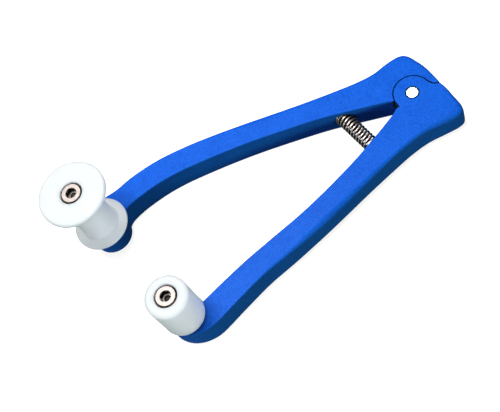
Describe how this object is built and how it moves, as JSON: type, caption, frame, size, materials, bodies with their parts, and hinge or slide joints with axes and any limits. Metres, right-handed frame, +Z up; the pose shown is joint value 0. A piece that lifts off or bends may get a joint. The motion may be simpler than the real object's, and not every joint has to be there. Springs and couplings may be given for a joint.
{
  "type": "seam roller",
  "caption": "Hand-squeezed seam roller: two curved blue arms on a sprung hinge, with a plain and a flanged white nylon roller.",
  "frame": {"origin": "bottom centre of the bounding box, in the plane of the arms' undersides", "axes": "+X from the hinge towards the rollers along the middle line between the open arms, +Y towards the arm with the plain roller, +Z up the rollers' axles"},
  "size_m": [0.2392, 0.1192, 0.0639],
  "materials": {
    "blue_paint": "satin",
    "white_nylon": "satin",
    "bright_steel": "machined",
    "zinc_steel": "zinc plated",
    "spring_steel": "oiled",
    "bearing_bronze": "sintered"
  },
  "bodies": {
    "lower_arm": {"lower_arm": "blue_paint", "pivot_pin": "bright_steel", "base_pivot_washer": "bright_steel", "top_pivot_washer": "bright_steel", "lower_spring_peg": "bright_steel", "return_spring": "spring_steel", "plain_base_washer": "bright_steel", "plain_sleeve": "bright_steel", "plain_head_washer": "bright_steel", "plain_screw": "bright_steel", "plain_lock_nut": "zinc_steel"},
    "upper_arm": {"upper_arm": "blue_paint", "pivot_bush": "bearing_bronze", "upper_spring_peg": "bright_steel", "flanged_base_washer": "bright_steel", "flanged_sleeve": "bright_steel", "flanged_head_washer": "bright_steel", "flanged_screw": "bright_steel", "flanged_lock_nut": "zinc_steel"},
    "plain_roller": {"plain_roller": "white_nylon", "plain_base_bush": "bearing_bronze", "plain_top_bush": "bearing_bronze"},
    "flanged_roller": {"flanged_roller": "white_nylon", "flanged_base_bush": "bearing_bronze", "flanged_top_bush": "bearing_bronze"}
  },
  "joints": [
    {"name": "arm_squeeze", "type": "hinge", "parent": "lower_arm", "child": "upper_arm", "pos_m": [-0.10146, 0.00409, 0.0087], "axis": [0, 0, 1], "range_deg": [0, 16.5], "stiffness_Nm_per_rad": 6.4, "springref_deg": -7.45, "deforming": ["return_spring"]},
    {"name": "plain_roller_spin", "type": "hinge", "parent": "lower_arm", "child": "plain_roller", "pos_m": [0.08301, 0.04357, 0.0334], "axis": [0, 0, 1], "continuous": true},
    {"name": "flanged_roller_spin", "type": "hinge", "parent": "upper_arm", "child": "flanged_roller", "pos_m": [0.0988, -0.03877, 0.0404], "axis": [0, 0, 1], "continuous": true}
  ]
}
